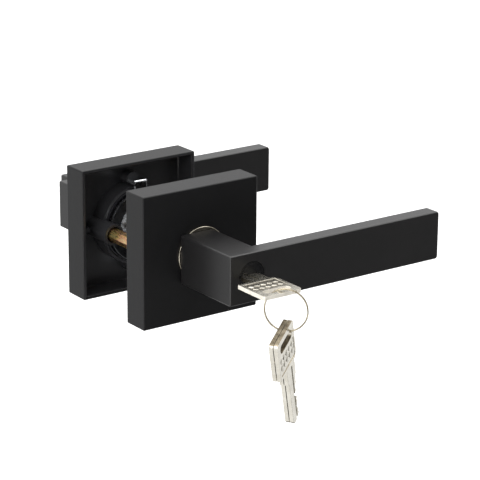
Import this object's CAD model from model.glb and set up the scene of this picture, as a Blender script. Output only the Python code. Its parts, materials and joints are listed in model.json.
"""Looks for the keyed door lever set: finishes, eased pieces, a split ring, light and camera."""

import json
import math

import bmesh
import bpy
from mathutils import Matrix, Vector


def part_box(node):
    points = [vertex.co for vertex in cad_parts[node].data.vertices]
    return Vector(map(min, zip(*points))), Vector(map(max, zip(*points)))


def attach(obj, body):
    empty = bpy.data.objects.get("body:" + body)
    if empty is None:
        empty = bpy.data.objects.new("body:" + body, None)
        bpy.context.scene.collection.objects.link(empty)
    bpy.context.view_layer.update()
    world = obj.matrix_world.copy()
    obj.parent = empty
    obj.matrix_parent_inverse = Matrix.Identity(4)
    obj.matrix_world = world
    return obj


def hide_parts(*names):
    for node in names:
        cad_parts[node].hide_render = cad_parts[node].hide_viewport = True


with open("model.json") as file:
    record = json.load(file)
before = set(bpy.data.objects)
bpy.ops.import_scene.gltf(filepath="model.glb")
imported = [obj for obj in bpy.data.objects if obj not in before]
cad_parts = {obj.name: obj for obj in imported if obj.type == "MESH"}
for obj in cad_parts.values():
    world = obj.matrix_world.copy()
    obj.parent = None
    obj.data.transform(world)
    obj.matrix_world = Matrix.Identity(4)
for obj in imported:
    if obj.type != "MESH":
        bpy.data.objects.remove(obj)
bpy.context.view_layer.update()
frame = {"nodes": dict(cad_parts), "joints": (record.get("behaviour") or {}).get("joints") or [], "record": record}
NODES = frame["nodes"]
JOINTS = {joint["name"]: joint for joint in frame["joints"]}
SLOT_OF = {part["node"]: part["material_slot"] for part in frame["record"]["subparts"]}
MM = 0.001

# Camera: the direction it looks from, its roll, how far off it is, and how far it stands to the side of the
# line through the origin and above it.
AZIMUTH = math.radians(-35.938)
ELEVATION = math.radians(17.934)
ROLL = math.radians(0.423)
DISTANCE = 1.070018
ASIDE = 0.038355
ABOVE = -0.002411
LENS = 164.125
SENSOR = 36.0
CLIP_START = 0.05
CLIP_END = 50.0

FLOOR_HEIGHT = -0.30
FLOOR_HALF = 6.0

# Light all round, and patches of it: direction, cosines at the patch's edge and core, and strength. The
# last two are narrow, and show only in rounded edges.
STUDIO_LEAST = 0.16
STUDIO_PATCHES = (
    ((0.35, 0.80, 0.45), -0.45, 0.60, 0.76),
    ((-0.77, -0.15, -0.62), 0.70, 0.90, 0.95),
    ((0.97, 0.10, -0.20), 0.85, 0.96, 0.20),
    ((0.0, 0.0, 1.0), 0.40, 0.90, 1.40),
    ((-0.77, -0.56, -0.31), 0.955, 0.985, 3.00),
    ((0.56, -0.31, 0.77), 0.955, 0.985, 2.20),
)

# Soft lamps: size, watts and place. All face the same target.
SOFTBOXES = {
    "overhead": ((1.4, 1.4), 5.0, (0.1, 0.5, 1.3)),
    "left": ((1.0, 1.4), 5.0, (-1.4, -0.1, 0.5)),
    "gap_fill": ((0.3, 0.5), 4.0, (-0.75, -0.40, 0.40)),
}
LAMP_TARGET = (0.02, 0, 0)

# Meshes: points nearer than the gap are joined, faces within the level angle are made one, edges past the
# sharp angle are eased, and faces over the broad area are shaded flat.
MERGE_GAP = 0.002 * MM
LEVEL_DEGREES = 1.0
SHARP_DEGREES = 28.0
BROAD_AREA = 6.0 * MM * MM

# Keys: the outer end of the key in the lock, how far its bow and its stem reach from there, the height its
# sunk panel stays under, the least share of Z in a normal that faces up or down, and the easing of all keys.
KEY_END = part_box("key")[0].y
BOW_REACH = 20.5 * MM
STEM_REACH = 28.5 * MM
PANEL_LEVEL = 0.8 * MM
END_LEAST = 0.6
KEY_EASE = 0.10 * MM

# Retaining plates: the least share of Y in a flat face's normal, where the lugs start, and the easing.
FLAT_LEAST = 0.97
LUG_START = 18.2 * MM
PLATE_EASE = 0.15 * MM

# Roses: the outer band with rounded edges and its rounding, how far the inside reaches into that band, and
# how far it stays behind the front.
RIM_BAND = 2.2 * MM
RIM_EASE = 0.50 * MM
RIM_SEGMENTS = 3
WALL_STEP = 0.45 * MM
FRONT_BAND = 2.4 * MM

# Split ring: the wire, its section (half width, half height, a power that squares it, and sides), the steps
# along its two turns, and the angle over which it is cut short and jogs.
RING_WIRE = 0.43 * MM
RING_HALF_WIDE = 0.84 * RING_WIRE
RING_HALF_HIGH = 0.48 * RING_WIRE
RING_POWER = 0.9
RING_SIDES = 14
RING_STEPS = 260
RING_CUT = 0.16


# Materials. Each is a small node tree in object coordinates, so it stays on its piece as the piece moves.

# Noises: their own roughness, the values between which gloss changes, and the values of the two tones.
NOISE_ROUGHNESS = 0.55
NOISE_MIDDLE = (0.35, 0.65)
TONE_STOPS = (0.3, 0.7)

# Stretches of a noise: the same each way, or lines along one axis.
ALIKE = (1, 1, 1)
ALONG_X = (0.1, 1, 1)
ALONG_Y = (1, 0.08, 1)


class Paint:
    """A material being made: its nodes, and short ways to add and join them."""

    def __init__(self, name, metallic=0.0, specular=0.5):
        self.material = bpy.data.materials.new(name)
        self.material.use_nodes = True
        self.tree = self.material.node_tree
        self.shader = self.tree.nodes["Principled BSDF"]
        self.shader.inputs["Metallic"].default_value = metallic
        self.shader.inputs["Specular IOR Level"].default_value = specular
        self.place = self.node("ShaderNodeTexCoord").outputs["Object"]

    def node(self, kind, inputs=None, **settings):
        """Add a node. Inputs that are sockets are linked, and other values are set."""
        made = self.tree.nodes.new(kind)
        for name, value in settings.items():
            setattr(made, name, value)
        for name, value in (inputs or {}).items():
            if isinstance(value, bpy.types.NodeSocket):
                self.tree.links.new(value, made.inputs[name])
            else:
                made.inputs[name].default_value = value
        return made

    def vector_math(self, operation, first, second):
        return self.node("ShaderNodeVectorMath", {0: first, 1: second}, operation=operation).outputs[0]

    def math(self, operation, first, second=0.0):
        return self.node("ShaderNodeMath", {0: first, 1: second}, operation=operation).outputs[0]

    def noise(self, scale, detail=3.0, stretch=None):
        """Noise with features about 1 / scale metres across, drawn out as the stretch says."""
        where = self.vector_math("MULTIPLY", self.place, stretch) if stretch else self.place
        settings = {"Vector": where, "Scale": scale, "Detail": detail, "Roughness": NOISE_ROUGHNESS}
        return self.node("ShaderNodeTexNoise", settings).outputs["Fac"]

    def rings(self, pitch):
        """A value that rises and falls with the distance from the spindle's axis, which is Y."""
        flat = self.vector_math("MULTIPLY", self.place, (1, 0, 1))
        radius = self.node("ShaderNodeVectorMath", {0: flat}, operation="LENGTH").outputs["Value"]
        wobble = self.math("MULTIPLY", self.noise(300.0), 0.4 * pitch)
        turns = self.math("DIVIDE", self.math("ADD", radius, wobble), pitch / (2 * math.pi))
        return self.math("SINE", turns)

    def ramp(self, value, stops):
        """Colour the surface by a value, with (position, colour) stops."""
        made = self.node("ShaderNodeValToRGB", {"Fac": value})
        elements = made.color_ramp.elements
        for _ in stops[2:]:
            elements.new(0.5)
        for element, (position, colour) in zip(elements, stops):
            element.position = position
            element.color = (*colour, 1.0)
        self.tree.links.new(made.outputs["Color"], self.shader.inputs["Base Color"])

    def colour(self, noise, tones):
        """Colour the surface from one tone to another by a noise."""
        self.ramp(noise, list(zip(TONE_STOPS, tones)))

    def roughness(self, noise, low, high):
        """Stretch the middle of a noise over a range of roughness."""
        start, end = NOISE_MIDDLE
        settings = {"Value": noise, "From Min": start, "From Max": end, "To Min": low, "To Max": high}
        spread = self.node("ShaderNodeMapRange", settings).outputs["Result"]
        self.tree.links.new(spread, self.shader.inputs["Roughness"])

    def bump(self, *layers):
        """Relief from (height, depth in mm) layers, one on the other."""
        below = None
        for height, depth in layers:
            made = self.node("ShaderNodeBump", {"Height": height, "Distance": depth * MM, "Strength": 1.0})
            if below is not None:
                self.tree.links.new(below, made.inputs["Normal"])
            below = made.outputs["Normal"]
        self.tree.links.new(below, self.shader.inputs["Normal"])


def shades(tone, darker, lighter):
    """A darker and a lighter tone."""
    return [darker * c for c in tone], [lighter * c for c in tone]


def powder_coat(name, tone, rough, relief=0.012, specular=0.3):
    """Matt black coating: an even colour, a fine orange-peel grain, and slight changes of gloss."""
    paint = Paint(name, specular=specular)
    grain = paint.noise(2600.0, detail=2.0)
    paint.colour(paint.noise(60.0, detail=4.0), shades(tone, 0.93, 1.07))
    paint.roughness(grain, rough - 0.03, rough + 0.03)
    paint.bump((grain, relief), (paint.noise(500.0), 2.0 * relief))
    return paint.material


def machined_black(name, tone, rough):
    """Satin black with turning marks round the spindle's axis."""
    paint = Paint(name, specular=0.4)
    cloud = paint.noise(220.0)
    paint.colour(cloud, shades(tone, 0.7, 1.3))
    paint.roughness(cloud, rough - 0.06, rough + 0.08)
    paint.bump((paint.rings(0.22 * MM), 0.006), (paint.noise(3000.0), 0.008))
    return paint.material


def polished(name, tones, rough):
    """Plated metal with faint turning lines and hazy patches."""
    paint = Paint(name, metallic=1.0)
    cloud = paint.noise(180.0, detail=4.0)
    paint.colour(cloud, tones)
    paint.roughness(cloud, rough - 0.04, rough + 0.07)
    paint.bump((paint.rings(0.18 * MM), 0.003), (paint.noise(2400.0), 0.004))
    return paint.material


def drawn(name, tones, rough, stretch=ALONG_Y, scale=2600.0):
    """Bare or plated metal with fine lines along an axis, or an even grain."""
    paint = Paint(name, metallic=1.0)
    lines = paint.noise(scale, stretch=stretch)
    paint.colour(paint.noise(150.0), tones)
    paint.roughness(lines, rough - 0.07, rough + 0.09)
    paint.bump((lines, 0.010))
    return paint.material


def chromate(name):
    """Yellow zinc chromate: gold that shifts to pink and green, over a milled surface."""
    paint = Paint(name, metallic=1.0)
    lines = paint.noise(2200.0, stretch=(1, 0.12, 1))
    paint.ramp(paint.noise(420.0, detail=2.0, stretch=(1, 0.35, 1)), [
        (0.28, (0.62, 0.53, 0.22)),
        (0.45, (0.80, 0.55, 0.20)),
        (0.58, (0.80, 0.42, 0.25)),
        (0.74, (0.74, 0.60, 0.30)),
    ])
    paint.roughness(lines, 0.22, 0.40)
    paint.bump((lines, 0.010), (paint.noise(900.0), 0.012))
    return paint.material


def nickel(name, tones, rough, relief, scale=1500.0, metallic=1.0):
    """Nickel plate over stamped brass: warm grey, with fine marks."""
    paint = Paint(name, metallic=metallic)
    marks = paint.noise(scale, detail=4.0)
    paint.colour(paint.noise(260.0, detail=4.0), tones)
    paint.roughness(marks, rough - 0.07, rough + 0.10)
    paint.bump((marks, relief), (paint.noise(420.0), 1.5 * relief))
    return paint.material


def nylon(name, tone):
    """Dull moulded plastic with a fine grain."""
    paint = Paint(name, specular=0.4)
    cloud = paint.noise(500.0)
    paint.colour(cloud, shades(tone, 0.8, 1.2))
    paint.roughness(cloud, 0.45, 0.6)
    paint.bump((paint.noise(2000.0), 0.01))
    return paint.material


def pale_floor(name):
    """Nearly white and matt, with broad faint clouds."""
    paint = Paint(name, specular=0.1)
    cloud = paint.noise(6.0)
    paint.colour(cloud, ((0.88, 0.88, 0.88), (0.90, 0.90, 0.90)))
    paint.roughness(cloud, 0.85, 0.95)
    return paint.material


# One finish for each of the record's material slots.
FINISHES = {
    "rose_black": powder_coat("rose_black", (0.0060, 0.0060, 0.0065), rough=0.40, specular=0.28),
    "lever_black": powder_coat("lever_black", (0.0082, 0.0079, 0.0082), rough=0.33, specular=0.55),
    "lock_black": machined_black("lock_black", (0.004, 0.004, 0.0045), rough=0.20),
    "housing_black": powder_coat(
        "housing_black", (0.012, 0.012, 0.014), rough=0.20, relief=0.004, specular=0.9,
    ),
    "collar_chrome": polished("collar_chrome", ((0.30, 0.27, 0.21), (0.52, 0.48, 0.40)), rough=0.12),
    "plate_chrome": polished("plate_chrome", ((0.66, 0.68, 0.70), (0.80, 0.82, 0.85)), rough=0.16),
    "spring_steel": drawn(
        "spring_steel", ((0.30, 0.30, 0.31), (0.40, 0.40, 0.41)), rough=0.30, stretch=ALIKE, scale=900.0,
    ),
    "screw_steel": drawn(
        "screw_steel", ((0.030, 0.030, 0.032), (0.045, 0.045, 0.048)), rough=0.35, stretch=ALIKE,
    ),
    "zinc_steel": drawn("zinc_steel", ((0.50, 0.51, 0.52), (0.62, 0.63, 0.64)), rough=0.28),
    "washer_nylon": nylon("washer_nylon", (0.03, 0.03, 0.03)),
    "standoff_brass": chromate("standoff_brass"),
    "pin_brass": drawn(
        "pin_brass", ((0.70, 0.52, 0.24), (0.80, 0.62, 0.32)), rough=0.25, stretch=ALONG_X,
    ),
    "key_nickel": nickel("key_nickel", ((0.64, 0.61, 0.53), (0.80, 0.77, 0.69)), rough=0.24, relief=0.006),
    "ring_steel": nickel("ring_steel", ((0.16, 0.135, 0.09), (0.44, 0.39, 0.29)), rough=0.34, relief=0.003),
}

# Further finishes for some faces of the pieces built below.
ROSE_INSIDE = powder_coat("rose_inside", (0.015, 0.015, 0.0165), rough=0.32, specular=0.6)
PLATE_FACE = drawn(
    "plate_face", ((0.045, 0.047, 0.052), (0.085, 0.088, 0.094)), rough=0.34, stretch=ALIKE, scale=700.0,
)
KEY_EDGE = nickel(
    "key_cut_edge", ((0.10, 0.08, 0.05), (0.46, 0.40, 0.30)), rough=0.40, relief=0.045, scale=2300.0,
)
KEY_TOP = nickel("key_top", ((0.38, 0.36, 0.30), (0.68, 0.65, 0.57)), rough=0.26, relief=0.012)
KEY_PANEL = nickel(
    "key_panel", ((0.14, 0.125, 0.095), (0.52, 0.49, 0.42)), rough=0.30, relief=0.020, scale=1900.0,
)
KEY_STEM = nickel(
    "key_stem", ((0.035, 0.030, 0.022), (0.26, 0.23, 0.17)), rough=0.30, relief=0.030, scale=900.0,
)
KEY_RIM = nickel(
    "key_rim", ((0.66, 0.62, 0.54), (0.84, 0.80, 0.72)), rough=0.42, relief=0.012, metallic=0.35,
)

for name, item in NODES.items():
    item.data.materials.clear()
    item.data.materials.append(FINISHES[SLOT_OF[name]])


# Pieces built here in place of plainer CAD solids.


def finished(name, bm, body, materials, node):
    """Turn a bmesh into a piece that rides on a body and stands for the given CAD node."""
    bmesh.ops.recalc_face_normals(bm, faces=bm.faces)
    mesh = bpy.data.meshes.new(name)
    bm.to_mesh(mesh)
    bm.free()
    for material in materials:
        mesh.materials.append(material)
    mesh.shade_smooth()
    mesh.set_sharp_from_angle(angle=math.radians(SHARP_DEGREES))
    for polygon in mesh.polygons:
        polygon.use_smooth = polygon.area < BROAD_AREA
    item = bpy.data.objects.new(name, mesh)
    bpy.context.scene.collection.objects.link(item)
    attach(item, body)
    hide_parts(node)


def eased(node, width, segments, chosen):
    """A CAD node's mesh with its flat faces made whole and its chosen sharp edges rounded off."""
    bm = bmesh.new()
    bm.from_mesh(NODES[node].data)
    bmesh.ops.remove_doubles(bm, verts=bm.verts, dist=MERGE_GAP)
    bmesh.ops.dissolve_limit(bm, angle_limit=math.radians(LEVEL_DEGREES), verts=bm.verts, edges=bm.edges)
    least = math.radians(SHARP_DEGREES)
    sharp = [e for e in bm.edges if len(e.link_faces) == 2 and e.calc_face_angle() > least and chosen(e)]
    bmesh.ops.bevel(
        bm, geom=sharp, offset=width, offset_type="OFFSET", segments=segments, profile=0.5, affect="EDGES",
        clamp_overlap=True,
    )
    return bm


def wrought(node, body, materials, finish_of, width, segments=2, chosen=lambda edge: True):
    """A CAD piece with eased edges. Each face takes the material whose number finish_of returns for it."""
    bm = eased(node, width, segments, chosen)
    bm.normal_update()
    for face in bm.faces:
        face.material_index = int(finish_of(face))
    finished(node + "_wrought", bm, body, materials, node)


def lock_key_finish(face):
    """Plain faces 0, the bow's rims 1, its sunk panel 2, and the shaded stem between bow and lock 3."""
    middle = face.calc_center_median()
    if middle.y > KEY_END + STEM_REACH:
        return 0
    if middle.y > KEY_END + BOW_REACH:
        return 3
    if abs(face.normal.z) < END_LEAST:
        return 1
    return 2 if abs(middle.z) < PANEL_LEVEL else 0


def spare_key_finish(face):
    """Broad faces and upright sides 0, and faces that look up or down 1."""
    return abs(face.normal.z) > END_LEAST


def plate_finish(face):
    """The flat of a plate 0, and its edges and bent lugs 1."""
    return abs(face.normal.y) < FLAT_LEAST or abs(face.calc_center_median().z) > LUG_START


def wrought_rose(node):
    """A rose with the edges of its outer walls rounded off, and a finish of its own inside."""
    low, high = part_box(node)
    rim = (high.x - low.x) / 2 - RIM_BAND
    depth = max(abs(low.y), abs(high.y)) - FRONT_BAND

    def in_rim(edge):
        return all(max(abs(vert.co.x), abs(vert.co.z)) > rim for vert in edge.verts)

    def is_inside(face):
        middle = face.calc_center_median()
        return abs(middle.y) < depth and max(abs(middle.x), abs(middle.z)) < rim + WALL_STEP

    materials = [FINISHES["rose_black"], ROSE_INSIDE]
    wrought(node, "door_trim", materials, is_inside, RIM_EASE, RIM_SEGMENTS, in_rim)


def sweep(frames, section):
    """A closed tube. Each frame is a point and the two directions of the section's numbers."""
    bm = bmesh.new()
    loops = []
    for point, first, second in frames:
        loops.append([bm.verts.new(point + first * u + second * v) for u, v in section])
    for near, far in zip(loops, loops[1:]):
        for i in range(len(section)):
            j = (i + 1) % len(section)
            bm.faces.new((near[i], near[j], far[j], far[i]))
    bm.faces.new(loops[0][::-1])
    bm.faces.new(loops[-1])
    return bm


def rounded_section(half_wide, half_high, power, count):
    """A rounded oblong: power 1 is an ellipse, and smaller is squarer."""
    points = []
    for i in range(count):
        turn = 2 * math.pi * i / count
        c, s = math.cos(turn), math.sin(turn)
        across = half_wide * math.copysign(abs(c) ** power, c)
        points.append((across, half_high * math.copysign(abs(s) ** power, s)))
    return points


def smooth_step(value):
    """0 up to 0, 1 from 1 on, and an even rise between."""
    value = min(max(value, 0.0), 1.0)
    return value * value * (3 - 2 * value)


def split_ring():
    """Two turns of flat wire side by side, with a jog where it crosses from one turn to the next."""
    low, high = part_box("key_ring")
    centre = (low + high) / 2
    along = Vector(JOINTS["key_ring_swing"]["axis"]).normalized()
    upright = Vector((0, 0, 1))
    normal = along.cross(upright)
    radius = (high.z - low.z) / 2 - RING_WIRE
    frames = []
    for i in range(RING_STEPS + 1):
        turn = RING_CUT + (4 * math.pi - 2 * RING_CUT) * i / RING_STEPS
        jog = smooth_step((turn - 2 * math.pi + RING_CUT) / (2 * RING_CUT))
        outward = along * math.cos(turn) + upright * math.sin(turn)
        layer = RING_WIRE / 2 * (2 * jog - 1)
        frames.append((centre + outward * radius + normal * layer, outward, normal))
    bm = sweep(frames, rounded_section(RING_HALF_WIDE, RING_HALF_HIGH, RING_POWER, RING_SIDES))
    finished("split_ring", bm, "key_ring", [FINISHES["ring_steel"]], "key_ring")


split_ring()
wrought("key", "key", [KEY_TOP, KEY_RIM, KEY_PANEL, KEY_STEM], lock_key_finish, KEY_EASE)
for spare in ("spare_key_front", "spare_key_back"):
    wrought(spare, spare, [FINISHES["key_nickel"], KEY_EDGE], spare_key_finish, KEY_EASE)
for plate in ("exterior_retaining_plate", "interior_retaining_plate"):
    wrought(plate, "door_trim", [PLATE_FACE, FINISHES["plate_chrome"]], plate_finish, PLATE_EASE)
for rose in ("exterior_rose", "interior_rose"):
    wrought_rose(rose)


# Stage, light and camera.


def stage_floor():
    """A pale floor that glossy surfaces do not mirror."""
    bpy.ops.mesh.primitive_plane_add(size=2 * FLOOR_HALF, location=(0, 0, FLOOR_HEIGHT))
    floor = bpy.context.object
    floor.name = "floor"
    floor.data.materials.append(pale_floor("floor_pale"))
    floor.visible_glossy = False


def softbox(name, size, watts, place):
    """A soft rectangular light that faces the target."""
    lamp = bpy.data.lights.new(name, "AREA")
    lamp.shape = "RECTANGLE"
    lamp.size, lamp.size_y = size
    lamp.energy = watts
    item = bpy.data.objects.new(name, lamp)
    item.location = place
    item.rotation_euler = (Vector(LAMP_TARGET) - Vector(place)).to_track_quat("-Z", "Y").to_euler()
    bpy.context.scene.collection.objects.link(item)


def surroundings():
    """A dim studio, to whose even light each patch adds its own round its direction."""
    world = bpy.data.worlds.new("studio")
    bpy.context.scene.world = world
    world.use_nodes = True
    tree = world.node_tree
    place = tree.nodes.new("ShaderNodeTexCoord").outputs["Generated"]
    total = None
    for direction, edge, core, strength in STUDIO_PATCHES:
        facing = tree.nodes.new("ShaderNodeVectorMath")
        facing.operation = "DOT_PRODUCT"
        facing.inputs[1].default_value = Vector(direction).normalized()
        tree.links.new(place, facing.inputs[0])
        patch = tree.nodes.new("ShaderNodeMapRange")
        patch.interpolation_type = "SMOOTHSTEP"
        for socket, value in (("From Min", edge), ("From Max", core), ("To Min", 0.0), ("To Max", strength)):
            patch.inputs[socket].default_value = value
        tree.links.new(facing.outputs["Value"], patch.inputs["Value"])
        added = tree.nodes.new("ShaderNodeMath")
        added.inputs[0].default_value = STUDIO_LEAST
        if total is not None:
            tree.links.new(total, added.inputs[0])
        tree.links.new(patch.outputs["Result"], added.inputs[1])
        total = added.outputs["Value"]
    background = tree.nodes["Background"]
    background.inputs["Color"].default_value = (1.0, 1.0, 1.0, 1.0)
    tree.links.new(total, background.inputs["Strength"])


def photograph_camera():
    """The camera at the photograph's place, turned and shifted as the constants say."""
    sin_a, cos_a = math.sin(AZIMUTH), math.cos(AZIMUTH)
    back = Vector((sin_a * math.cos(ELEVATION), -cos_a * math.cos(ELEVATION), math.sin(ELEVATION)))
    level = Vector((cos_a, sin_a, 0))
    upright = back.cross(level)
    right = level * math.cos(ROLL) + upright * math.sin(ROLL)
    up = upright * math.cos(ROLL) - level * math.sin(ROLL)
    data = bpy.data.cameras.new("camera")
    data.lens = LENS
    data.sensor_width = SENSOR
    data.clip_start = CLIP_START
    data.clip_end = CLIP_END
    camera = bpy.data.objects.new("camera", data)
    turned = Matrix((right, up, back)).transposed().to_4x4()
    camera.matrix_world = Matrix.Translation(back * DISTANCE + right * ASIDE + up * ABOVE) @ turned
    bpy.context.scene.collection.objects.link(camera)
    bpy.context.scene.camera = camera


stage_floor()
surroundings()
for lamp_name, settings in SOFTBOXES.items():
    softbox(lamp_name, *settings)
photograph_camera()
bpy.context.scene.view_settings.view_transform = "Standard"
